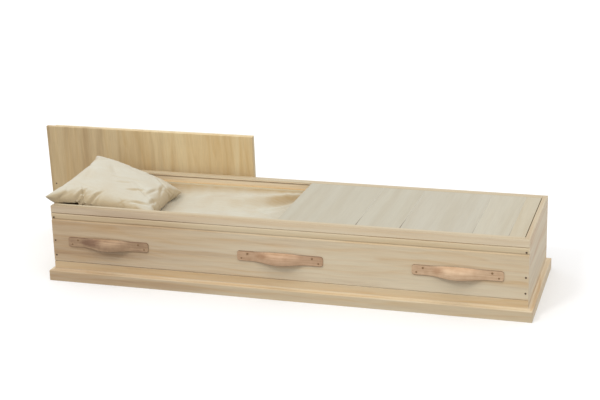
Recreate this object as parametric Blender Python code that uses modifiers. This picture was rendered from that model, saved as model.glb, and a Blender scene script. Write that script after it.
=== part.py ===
"""A wooden casket on a plinth, with a lid in two halves, leather handles, a lining and a pillow.

The foot half of the lid lies in its place. The head half is lifted off and stands on its
long edge behind the casket. Metres, +Z up. The origin is the middle of the underside,
the head end is at -X and the front is at -Y.
"""

import math

import bmesh
import bpy
from mathutils import Matrix, Vector

# The box
CASKET_LENGTH = 2.000
CASKET_WIDTH = 0.574
CASKET_HEIGHT = 0.327
BOARD = 0.020
BOTTOM_BOARD = 0.018
FIT = 0.0003
EASED_EDGE = 0.0008

# The lines routed along the outer face of each long side
GROOVE_WIDTH = 0.0034
GROOVE_DEPTH = 0.0045
TOP_GROOVE_BELOW_RIM = 0.0305
HOLLOW_TOP_BELOW_RIM = 0.0350
HOLLOW_FOOT_BELOW_RIM = 0.0600
HOLLOW_RETURN = 0.0035
HOLLOW_DEPTH = 0.0042
LOW_GROOVE_ABOVE_PLINTH = 0.0375

# The plinth
PLINTH_HEIGHT = 0.0455
PLINTH_DEPTH = 0.020
PLINTH_ROUND = 0.005
PLINTH_COVE = 0.0075
MITRE_SETBACK = 0.00025
ARC_STEPS = 5

# What the lids lie in and on
RAIL_WIDTH = 0.016
RAIL_LINE_BELOW_RIM = 0.0085
RAIL_LINE_WIDTH = 0.0030
RAIL_LINE_DEPTH = 0.0040
LEDGE_WIDTH = 0.026
LEDGE_HEIGHT = 0.020

# The lids, each of planks glued across a core
LID_PLANK = 0.012
LID_CORE = 0.018
LID_SIDE_GAP = 0.0008
LID_END_GAP = 0.0030
LID_MEETING_GAP = 0.0010
HEAD_PLANKS_LENGTH = 0.963
LID_LAP = 0.037
FOOT_LID_JOINTS = (0.327, 0.507, 0.795, 0.937)
HEAD_LID_JOINTS = (0.215, 0.420, 0.610, 0.835)

# Where the lifted head lid stands
HEAD_LID_SHIFT = 0.326
HEAD_LID_LEAN = math.radians(2.3)

# The leather handles and their screws
HANDLE_LENGTH = 0.360
HANDLE_TAB_LENGTH = 0.062
HANDLE_TAB_WIDTH = 0.042
HANDLE_THICKNESS = 0.0045
HANDLE_CORNER = 0.010
HANDLE_BOW = 0.037
HANDLE_HEIGHT = 0.174
HANDLE_HEAD_FROM_END = 0.253
HANDLE_MIDDLE_PAST_CENTRE = 0.003
HANDLE_FOOT_FROM_END = 0.275
HANDLE_STATIONS = 24
HANDLE_COLUMNS = 6

# The middle of the grip in cross-section, from its upper edge to its lower one, evenly spaced
# along the leather: the share of the bow that it stands off the wall, and its height as a share
# of the tab's width
GRIP_SECTION = (
    (0.22, 0.524),
    (0.50, 0.488),
    (0.76, 0.369),
    (0.94, 0.167),
    (1.00, -0.048),
    (1.00, -0.262),
    (0.96, -0.452),
)
GRIP_SHOULDER = 0.007
SCREW_HEAD_HEIGHT = 0.0025
UPPER_SCREW_RADIUS = 0.0045
LOWER_SCREW_RADIUS = 0.0036
UPPER_SCREW_FROM_TAB_END = 0.044
UPPER_SCREW_RISE = 0.010
LOWER_SCREW_FROM_TAB_END = 0.018
LOWER_SCREW_DROP = 0.009
SCREW_SIDES = 16

# The cotton lining, slung from the ledges
LINING_THICKNESS = 0.003
LINING_BELOW_LEDGE = 0.004
LINING_SAG = 0.054
LINING_STEEPNESS = 9.0
LINING_CELLS = (30, 18)

# The pillow, by the four corners of its seam, measured from the head end, the front and the rim
PILLOW_HEAD_FRONT = (-0.028, 0.012, 0.034)
PILLOW_HEAD_REAR = (-0.010, 0.500, 0.076)
PILLOW_FOOT_REAR = (0.400, 0.478, -0.063)
PILLOW_FOOT_FRONT = (0.430, 0.080, -0.059)
PILLOW_ABOVE_SEAM = 0.057
PILLOW_BELOW_SEAM = 0.086
PILLOW_OVER_HEAD_END = 0.100
PILLOW_CLEARANCE = 0.0012
PILLOW_SEAM = 0.004
PILLOW_WAIST = 0.07
PILLOW_CUTS = 9

# Levels and lines that follow
HALF_LENGTH = CASKET_LENGTH / 2
HALF_WIDTH = CASKET_WIDTH / 2
INNER_LENGTH = CASKET_LENGTH - 2 * BOARD
INNER_WIDTH = CASKET_WIDTH - 2 * BOARD
LID_THICKNESS = LID_PLANK + LID_CORE
LEDGE_TOP = CASKET_HEIGHT - LID_THICKNESS - FIT
LID_WIDTH = INNER_WIDTH - 2 * (FIT + RAIL_WIDTH + LID_SIDE_GAP)
HEAD_LID_START = -HALF_LENGTH + BOARD + LID_END_GAP / 3
FOOT_LID_START = HEAD_LID_START + HEAD_PLANKS_LENGTH + LID_MEETING_GAP
FOOT_LID_END = HALF_LENGTH - BOARD - LID_END_GAP
LINING_HALF_LENGTH = INNER_LENGTH / 2 - LEDGE_WIDTH - 2 * FIT
LINING_HALF_WIDTH = INNER_WIDTH / 2 - LEDGE_WIDTH - 2 * FIT

# Which way a moulding's outer face looks: turns about Z from +X
FACES_FOOT = 0.0
FACES_REAR = math.pi / 2
FACES_HEAD = math.pi
FACES_FRONT = -math.pi / 2


def clear_scene():
    for old in list(bpy.data.objects):
        bpy.data.objects.remove(old, do_unlink=True)


def make_collection(name):
    collection = bpy.data.collections.new(name)
    bpy.context.scene.collection.children.link(collection)
    return collection


def make_material(name, colour, roughness, metallic=0.0):
    material = bpy.data.materials.new(name)
    material.use_nodes = True
    shader = material.node_tree.nodes["Principled BSDF"]
    shader.inputs["Base Color"].default_value = (*colour, 1.0)
    shader.inputs["Roughness"].default_value = roughness
    shader.inputs["Metallic"].default_value = metallic
    material.diffuse_color = (*colour, 1.0)
    return material


def add_object(name, mesh, collection, material, parent=None):
    piece = bpy.data.objects.new(name, mesh)
    collection.objects.link(piece)
    mesh.materials.clear()
    mesh.materials.append(material)
    piece.parent = parent
    return piece


def mesh_from_bmesh(name, working):
    bmesh.ops.recalc_face_normals(working, faces=working.faces)
    mesh = bpy.data.meshes.new(name)
    working.to_mesh(mesh)
    working.free()
    return mesh


def ease_edges(piece, width):
    bevel = piece.modifiers.new("eased edges", "BEVEL")
    bevel.width = width
    bevel.segments = 1
    bevel.limit_method = "ANGLE"
    bevel.angle_limit = math.radians(40)


def add_box(name, low, high, collection, material, parent=None, eased=EASED_EDGE):
    """A board between two opposite corners."""
    low = Vector(low)
    high = Vector(high)
    working = bmesh.new()
    bmesh.ops.create_cube(working, size=1.0)
    bmesh.ops.scale(working, vec=high - low, verts=working.verts)
    piece = add_object(name, mesh_from_bmesh(name, working), collection, material, parent)
    piece.location = (low + high) / 2
    ease_edges(piece, eased)
    return piece


def arc(centre, radius, start, end):
    """Points of a round stretch, with the angles in degrees."""
    points = []
    for step in range(ARC_STEPS + 1):
        angle = math.radians(start + (end - start) * step / ARC_STEPS)
        points.append((centre[0] + radius * math.cos(angle), centre[1] + radius * math.sin(angle)))
    return points


def extruded_outline(name, outline, length):
    """A closed mesh: an outline (outwards, up) drawn out along its own Z, evenly both ways."""
    curve = bpy.data.curves.new(name, "CURVE")
    curve.dimensions = "2D"
    curve.fill_mode = "BOTH"
    curve.extrude = length / 2
    spline = curve.splines.new("POLY")
    spline.points.add(len(outline) - 1)
    for point, (outwards, up) in zip(spline.points, outline):
        point.co = (outwards, up, 0.0, 1.0)
    spline.use_cyclic_u = True
    drawn = bpy.data.objects.new(name, curve)
    bpy.context.scene.collection.objects.link(drawn)
    bpy.context.view_layer.update()
    evaluated = drawn.evaluated_get(bpy.context.evaluated_depsgraph_get())
    mesh = bpy.data.meshes.new_from_object(evaluated)
    bpy.data.objects.remove(drawn, do_unlink=True)
    bpy.data.curves.remove(curve)
    working = bmesh.new()
    working.from_mesh(mesh)
    bpy.data.meshes.remove(mesh)
    bmesh.ops.remove_doubles(working, verts=working.verts, dist=0.00001)
    return mesh_from_bmesh(name, working)


def stand_moulding(piece, place, faces):
    """Turn an extruded outline so that its outer face looks along `faces`."""
    piece.location = place
    piece.rotation_euler = (math.pi / 2, 0.0, faces)


def v_groove(face, level, width, depth):
    """Three points of a V cut into a face, listed from the top down."""
    return [(face, level + width / 2), (face - depth, level), (face, level - width / 2)]


def side_outline():
    """Cross-section of a long side: a flat board with routed lines along its outer face."""
    rim = CASKET_HEIGHT
    hollow_top = rim - HOLLOW_TOP_BELOW_RIM
    hollow_foot = rim - HOLLOW_FOOT_BELOW_RIM
    outline = [(-BOARD, 0.0), (-BOARD, rim)]
    outline += [(-EASED_EDGE, rim), (0.0, rim - EASED_EDGE)]
    outline += v_groove(0.0, rim - TOP_GROOVE_BELOW_RIM, GROOVE_WIDTH, GROOVE_DEPTH)
    for step in range(ARC_STEPS + 1):
        share = step / ARC_STEPS
        level = hollow_top + (hollow_foot - hollow_top) * share
        outline.append((-HOLLOW_DEPTH * share ** 1.6, level))
    outline.append((0.0, hollow_foot - HOLLOW_RETURN))
    low_groove = PLINTH_HEIGHT + LOW_GROOVE_ABOVE_PLINTH
    outline += v_groove(0.0, low_groove, GROOVE_WIDTH, GROOVE_DEPTH)
    outline.append((0.0, 0.0))
    return outline


def plinth_outline():
    """Cross-section of the plinth: a rounded upper edge, then a small cove against the wall."""
    shoulder = (PLINTH_DEPTH - PLINTH_ROUND, PLINTH_HEIGHT - PLINTH_ROUND)
    cove_centre = (FIT + PLINTH_COVE, PLINTH_HEIGHT + PLINTH_COVE)
    outline = [(FIT, 0.0), (PLINTH_DEPTH, 0.0)]
    outline += arc(shoulder, PLINTH_ROUND, 0, 90)
    outline += arc(cove_centre, PLINTH_COVE, 270, 180)
    return outline


def rail_outline():
    """Cross-section of an inner rail, with the shadow line along its inner face."""
    line = CASKET_HEIGHT - RAIL_LINE_BELOW_RIM
    foot = CASKET_HEIGHT - LID_THICKNESS
    outline = [(0.0, foot), (0.0, CASKET_HEIGHT), (RAIL_WIDTH, CASKET_HEIGHT)]
    outline += v_groove(RAIL_WIDTH, line, RAIL_LINE_WIDTH, RAIL_LINE_DEPTH)
    outline.append((RAIL_WIDTH, foot))
    return outline


def add_moulding(name, outline, length, place, faces, collection, material):
    piece = add_object(name, extruded_outline(name, outline, length), collection, material)
    stand_moulding(piece, place, faces)
    return piece


def mitre_ends(piece, half_wall):
    """Slant both ends of a plinth board at 45 degrees, from the corner of the wall outwards."""
    for vertex in piece.data.vertices:
        reach = half_wall + vertex.co.x - MITRE_SETBACK
        vertex.co.z = math.copysign(reach, vertex.co.z)


def build_box(collection, materials):
    pine = materials["pine"]
    end = HALF_LENGTH
    inside_y = HALF_WIDTH - BOARD - FIT
    inside_x = HALF_LENGTH - BOARD - FIT
    side = side_outline()
    add_moulding("side_front", side, CASKET_LENGTH, (0, -HALF_WIDTH, 0), FACES_FRONT, collection, pine)
    add_moulding("side_rear", side, CASKET_LENGTH, (0, HALF_WIDTH, 0), FACES_REAR, collection, pine)
    add_box("end_head", (-end, -inside_y, 0), (BOARD - end, inside_y, CASKET_HEIGHT), collection, pine)
    add_box("end_foot", (end - BOARD, -inside_y, 0), (end, inside_y, CASKET_HEIGHT), collection, pine)
    low = (-inside_x, -inside_y, 0)
    high = (inside_x, inside_y, BOTTOM_BOARD)
    add_box("bottom_board", low, high, collection, materials["plywood"])


def build_plinth(collection, material):
    outline = plinth_outline()
    sides = (
        ("plinth_front", (0, -HALF_WIDTH, 0), FACES_FRONT, HALF_LENGTH),
        ("plinth_rear", (0, HALF_WIDTH, 0), FACES_REAR, HALF_LENGTH),
        ("plinth_head", (-HALF_LENGTH, 0, 0), FACES_HEAD, HALF_WIDTH),
        ("plinth_foot", (HALF_LENGTH, 0, 0), FACES_FOOT, HALF_WIDTH),
    )
    for name, place, faces, half_wall in sides:
        board = add_moulding(name, outline, 2 * half_wall, place, faces, collection, material)
        mitre_ends(board, half_wall)


def build_lid_supports(collection, material):
    """Rails along the rim that the lids fit between, and ledges that they lie on."""
    wall_y = HALF_WIDTH - BOARD - FIT
    length = INNER_LENGTH - 2 * FIT
    outline = rail_outline()
    add_moulding("rail_front", outline, length, (0, -wall_y, 0), FACES_REAR, collection, material)
    add_moulding("rail_rear", outline, length, (0, wall_y, 0), FACES_FRONT, collection, material)
    half = length / 2
    low = LEDGE_TOP - LEDGE_HEIGHT
    inner_y = wall_y - LEDGE_WIDTH
    add_box("ledge_front", (-half, -wall_y, low), (half, -inner_y, LEDGE_TOP), collection, material)
    add_box("ledge_rear", (-half, inner_y, low), (half, wall_y, LEDGE_TOP), collection, material)
    across = inner_y - FIT
    inner_x = half - LEDGE_WIDTH
    add_box("ledge_head", (-half, -across, low), (-inner_x, across, LEDGE_TOP), collection, material)
    add_box("ledge_foot", (inner_x, -across, low), (half, across, LEDGE_TOP), collection, material)


def add_planks(prefix, start, length, joints, low, high, collection, material, parent):
    """Planks side by side along X, the joints given as shares of the length. low, high: (y, z)."""
    edges = [0.0, *joints, 1.0]
    for number, (left, right) in enumerate(zip(edges, edges[1:]), start=1):
        near = start + left * length + FIT / 2
        far = start + right * length - FIT / 2
        add_box(f"{prefix}_{number}", (near, *low), (far, *high), collection, material, parent)


def build_foot_lid(collection, materials):
    """In its place: planks from the meeting line to the foot end, on a core that leaves the lap free."""
    half = LID_WIDTH / 2
    rim = CASKET_HEIGHT
    foot = rim - LID_THICKNESS
    core_start = FOOT_LID_START + LID_LAP
    low = (core_start, -half, foot)
    high = (FOOT_LID_END, half, foot + LID_CORE - FIT)
    add_box("foot_lid_core", low, high, collection, materials["lid core"])
    length = FOOT_LID_END - FOOT_LID_START
    low = (-half, rim - LID_PLANK)
    high = (half, rim)
    planks = materials["lid planks"]
    add_planks("foot_lid_plank", FOOT_LID_START, length, FOOT_LID_JOINTS, low, high, collection, planks, None)


def build_head_lid(collection, materials):
    """Stood on its long edge behind the casket, its core to the front, its lap towards -X.

    It leans on the middle of the rear handle at the head end.
    """
    tilt = math.tan(HEAD_LID_LEAN)
    handle_face = HALF_WIDTH + FIT + HANDLE_BOW + HANDLE_THICKNESS
    handle_top = HANDLE_HEIGHT + GRIP_SHOULDER
    hinge_line = bpy.data.objects.new("head_lid_stand", None)
    collection.objects.link(hinge_line)
    hinge_line.location = (0.0, handle_face + 2 * FIT + handle_top * tilt, 0.0)
    hinge_line.rotation_euler = (HEAD_LID_LEAN, 0.0, 0.0)
    start = HEAD_LID_START - HEAD_LID_SHIFT
    length = HEAD_PLANKS_LENGTH + LID_LAP
    low = (start, 0.0, 0.0)
    high = (start + length, LID_CORE - FIT, LID_WIDTH)
    add_box("head_lid_core", low, high, collection, materials["lid core"], hinge_line)
    low = (LID_CORE, 0.0)
    high = (LID_THICKNESS, LID_WIDTH)
    first = start + LID_LAP
    planks = materials["lid planks"]
    joints = HEAD_LID_JOINTS
    add_planks("head_lid_plank", first, HEAD_PLANKS_LENGTH, joints, low, high, collection, planks, hinge_line)


def strap_half_width(along):
    """Half the flat strap's width, round at the outer corners of the tabs."""
    half = HANDLE_TAB_WIDTH / 2
    into_corner = abs(along) - (HANDLE_LENGTH / 2 - HANDLE_CORNER)
    if into_corner > 0:
        into_corner = min(into_corner, HANDLE_CORNER)
        half -= HANDLE_CORNER - math.sqrt(HANDLE_CORNER ** 2 - into_corner ** 2)
    return half


def strap_place(along, column):
    """Where a point of the strap's inner face is: flat at the tabs, cupped over at the grip."""
    grip_half = HANDLE_LENGTH / 2 - HANDLE_TAB_LENGTH
    share = min(abs(along) / grip_half, 1.0)
    cupped = (1 + math.cos(math.pi * share)) / 2
    off_wall, rise = GRIP_SECTION[column]
    flat_height = strap_half_width(along) * (1 - 2 * column / HANDLE_COLUMNS)
    up = flat_height + (rise * HANDLE_TAB_WIDTH - flat_height) * cupped
    return Vector((along, -(FIT + HANDLE_BOW * off_wall * cupped), up))


def strap_mesh():
    """The leather strap: X along, -Y away from the wall, Z up, the wall's face at Y = 0."""
    working = bmesh.new()
    bmesh.ops.create_grid(working, x_segments=HANDLE_STATIONS, y_segments=HANDLE_COLUMNS, size=1.0)
    for vertex in working.verts:
        along = HANDLE_LENGTH / 2 * math.sin(vertex.co.x * math.pi / 2)
        column = round((1 - vertex.co.y) / 2 * HANDLE_COLUMNS)
        vertex.co = strap_place(along, column)
    bmesh.ops.recalc_face_normals(working, faces=working.faces)
    outwards = sum(face.normal.y * face.calc_area() for face in working.faces)
    if outwards > 0:
        bmesh.ops.reverse_faces(working, faces=working.faces)
    mesh = bpy.data.meshes.new("strap")
    working.to_mesh(mesh)
    working.free()
    return mesh


def add_handle(name, place, turn, collection, materials):
    stand = bpy.data.objects.new(f"{name}_place", None)
    collection.objects.link(stand)
    stand.location = place
    stand.rotation_euler = (0.0, 0.0, turn)
    strap = add_object(name, strap_mesh(), collection, materials["leather"], stand)
    skin = strap.modifiers.new("leather thickness", "SOLIDIFY")
    skin.thickness = HANDLE_THICKNESS
    skin.offset = 1.0
    face = -(FIT + HANDLE_THICKNESS + FIT)
    end = HANDLE_LENGTH / 2
    for hand, side in (("left", -1), ("right", 1)):
        upper = (side * (end - UPPER_SCREW_FROM_TAB_END), face, UPPER_SCREW_RISE)
        lower = (side * (end - LOWER_SCREW_FROM_TAB_END), face, -LOWER_SCREW_DROP)
        add_screw_head(f"{name}_screw_{hand}_upper", upper, UPPER_SCREW_RADIUS, collection, materials, stand)
        add_screw_head(f"{name}_screw_{hand}_lower", lower, LOWER_SCREW_RADIUS, collection, materials, stand)


def add_screw_head(name, place, radius, collection, materials, parent):
    """A low round head whose flat back is at `place`, looking along -Y."""
    working = bmesh.new()
    bmesh.ops.create_cone(
        working, cap_ends=True, segments=SCREW_SIDES, radius1=radius, radius2=radius * 0.7,
        depth=SCREW_HEAD_HEIGHT,
    )
    bmesh.ops.translate(working, vec=(0, 0, SCREW_HEAD_HEIGHT / 2), verts=working.verts)
    bmesh.ops.rotate(working, matrix=Matrix.Rotation(math.pi / 2, 3, "X"), verts=working.verts)
    piece = add_object(name, mesh_from_bmesh(name, working), collection, materials["screw"], parent)
    piece.location = place


def build_handles(collection, materials):
    centres = {
        "head": HANDLE_HEAD_FROM_END - HALF_LENGTH,
        "middle": HANDLE_MIDDLE_PAST_CENTRE,
        "foot": HALF_LENGTH - HANDLE_FOOT_FROM_END,
    }
    for where, along in centres.items():
        front = (along, -HALF_WIDTH, HANDLE_HEIGHT)
        rear = (along, HALF_WIDTH, HANDLE_HEIGHT)
        add_handle(f"handle_front_{where}", front, 0.0, collection, materials)
        add_handle(f"handle_rear_{where}", rear, math.pi, collection, materials)


def lining_level(along, across):
    """Height of the lining's underside, from shares of its half length and half width."""
    # The fall from the end ledges is as steep, in metres, as that from the long ones.
    end_steepness = LINING_STEEPNESS * LINING_HALF_LENGTH / LINING_HALF_WIDTH
    fall = (1 - abs(along) ** end_steepness) * (1 - abs(across) ** LINING_STEEPNESS)
    return LEDGE_TOP - LINING_BELOW_LEDGE - LINING_SAG * fall


def build_lining(collection, material):
    """A sheet slung between the ledges: steep just inside them, then a nearly level bed."""
    working = bmesh.new()
    cells_x, cells_y = LINING_CELLS
    bmesh.ops.create_grid(working, x_segments=cells_x, y_segments=cells_y, size=1.0)
    for vertex in working.verts:
        along = math.sin(vertex.co.x * math.pi / 2)
        across = math.sin(vertex.co.y * math.pi / 2)
        level = lining_level(along, across)
        vertex.co = (along * LINING_HALF_LENGTH, across * LINING_HALF_WIDTH, level)
    mesh = bpy.data.meshes.new("lining")
    working.normal_update()
    working.to_mesh(mesh)
    working.free()
    sheet = add_object("lining", mesh, collection, material)
    skin = sheet.modifiers.new("cloth thickness", "SOLIDIFY")
    skin.thickness = LINING_THICKNESS
    skin.offset = 1.0


def pillow_place(corner):
    """A corner given from the head end, the front and the rim, in the casket's own frame."""
    from_head, from_front, above_rim = corner
    return Vector((from_head - HALF_LENGTH, from_front - HALF_WIDTH, CASKET_HEIGHT + above_rim))


def pillow_rest(place):
    """The lowest that the pillow's underside may be: on the head end's rim, or on the lining."""
    if place.x < PILLOW_OVER_HEAD_END - HALF_LENGTH:
        return CASKET_HEIGHT + PILLOW_CLEARANCE
    along = max(-1.0, place.x / LINING_HALF_LENGTH)
    across = max(-1.0, min(1.0, place.y / LINING_HALF_WIDTH))
    return lining_level(along, across) + LINING_THICKNESS + PILLOW_CLEARANCE


def build_pillow(collection, material):
    """Its four-cornered seam hangs over the head end, and slopes down to the lining."""
    head_front = pillow_place(PILLOW_HEAD_FRONT)
    head_rear = pillow_place(PILLOW_HEAD_REAR)
    foot_rear = pillow_place(PILLOW_FOOT_REAR)
    foot_front = pillow_place(PILLOW_FOOT_FRONT)
    lie = (foot_rear + foot_front - head_rear - head_front)
    reach = (head_rear + foot_rear - head_front - foot_front)
    upright = lie.cross(reach).normalized()
    working = bmesh.new()
    bmesh.ops.create_cube(working, size=2.0)
    flat = [e for e in working.edges if abs(e.verts[0].co.z - e.verts[1].co.z) < 0.5]
    bmesh.ops.subdivide_edges(working, edges=flat, cuts=PILLOW_CUTS, use_grid_fill=True)
    for vertex in working.verts:
        u, v, side = vertex.co
        plump = ((1 - abs(u) ** 2.4) * (1 - abs(v) ** 2.4)) ** 0.5
        drawn_u = u * (1 - PILLOW_WAIST * (1 - v * v))
        drawn_v = v * (1 - PILLOW_WAIST * (1 - u * u))
        to_foot = (drawn_u + 1) / 2
        to_rear = (drawn_v + 1) / 2
        head_edge = head_front.lerp(head_rear, to_rear)
        foot_edge = foot_front.lerp(foot_rear, to_rear)
        filling = PILLOW_ABOVE_SEAM if side > 0 else PILLOW_BELOW_SEAM
        half = PILLOW_SEAM / 2 + filling * plump
        place = head_edge.lerp(foot_edge, to_foot) + upright * half * side
        place.z = max(place.z, pillow_rest(place))
        vertex.co = place
    add_object("pillow", mesh_from_bmesh("pillow", working), collection, material)


def build_casket():
    clear_scene()
    collection = make_collection("Wooden casket")
    materials = {
        "pine": make_material("pine boards", (0.56, 0.42, 0.28), 0.55),
        "plywood": make_material("plywood bottom", (0.50, 0.39, 0.26), 0.60),
        "lid planks": make_material("lid planks", (0.58, 0.53, 0.43), 0.60),
        "lid core": make_material("lid core", (0.55, 0.43, 0.28), 0.60),
        "leather": make_material("tan leather", (0.47, 0.29, 0.18), 0.55),
        "screw": make_material("screw head", (0.20, 0.16, 0.12), 0.40, 0.8),
        "calico": make_material("calico lining", (0.66, 0.60, 0.48), 0.90),
        "pillow": make_material("calico pillow", (0.70, 0.65, 0.54), 0.90),
    }
    build_box(collection, materials)
    build_plinth(collection, materials["pine"])
    build_lid_supports(collection, materials["pine"])
    build_foot_lid(collection, materials)
    build_head_lid(collection, materials)
    build_handles(collection, materials)
    build_lining(collection, materials["calico"])
    build_pillow(collection, materials["pillow"])


build_casket()
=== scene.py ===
import math

import bmesh
import bpy
from mathutils import Matrix, Vector


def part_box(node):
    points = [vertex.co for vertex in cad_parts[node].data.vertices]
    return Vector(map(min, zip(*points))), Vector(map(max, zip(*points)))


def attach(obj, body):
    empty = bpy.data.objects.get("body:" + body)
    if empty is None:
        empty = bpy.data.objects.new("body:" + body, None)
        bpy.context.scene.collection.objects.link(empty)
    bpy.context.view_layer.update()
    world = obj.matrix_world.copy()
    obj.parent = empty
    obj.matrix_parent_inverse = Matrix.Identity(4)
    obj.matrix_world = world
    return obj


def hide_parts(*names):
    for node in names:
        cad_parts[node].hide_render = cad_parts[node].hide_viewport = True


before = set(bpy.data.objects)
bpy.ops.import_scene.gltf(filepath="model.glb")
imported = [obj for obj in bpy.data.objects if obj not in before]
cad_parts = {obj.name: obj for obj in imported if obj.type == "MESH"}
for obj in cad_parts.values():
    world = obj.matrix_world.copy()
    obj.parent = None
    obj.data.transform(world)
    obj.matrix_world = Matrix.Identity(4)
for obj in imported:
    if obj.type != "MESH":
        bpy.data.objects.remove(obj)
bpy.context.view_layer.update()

# The walls of the box are planed pine boards, rubbed with a clear satin oil. The long sides have
# their lines routed along them, the ends stand between the sides, and the grain runs along each.

PINE_PALE = "E0D0B3"
PINE_LATE = "D1AD7C"
PINE_HEART = "9F7A57"
ALONG_X = (0.0, 0.0, 0.0)
ALONG_Y = (0.0, 0.0, -math.pi / 2)
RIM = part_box("side_front")[1].z


def linear(hex_colour):
    """An sRGB hex colour as the linear colour that a shader takes."""
    shares = [int(hex_colour[at:at + 2], 16) / 255 for at in (0, 2, 4)]
    channels = [s / 12.92 if s <= 0.04045 else ((s + 0.055) / 1.055) ** 2.4 for s in shares]
    return (*channels, 1.0)


def add_node(tree, kind, values=None, links=None, **options):
    """A node with its options and input values set, and its inputs linked to other nodes' outputs."""
    node = tree.nodes.new(kind)
    for option, value in options.items():
        setattr(node, option, value)
    for socket, value in (values or {}).items():
        node.inputs[socket].default_value = value
    for socket, source in (links or {}).items():
        tree.links.new(source, node.inputs[socket])
    return node


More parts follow.
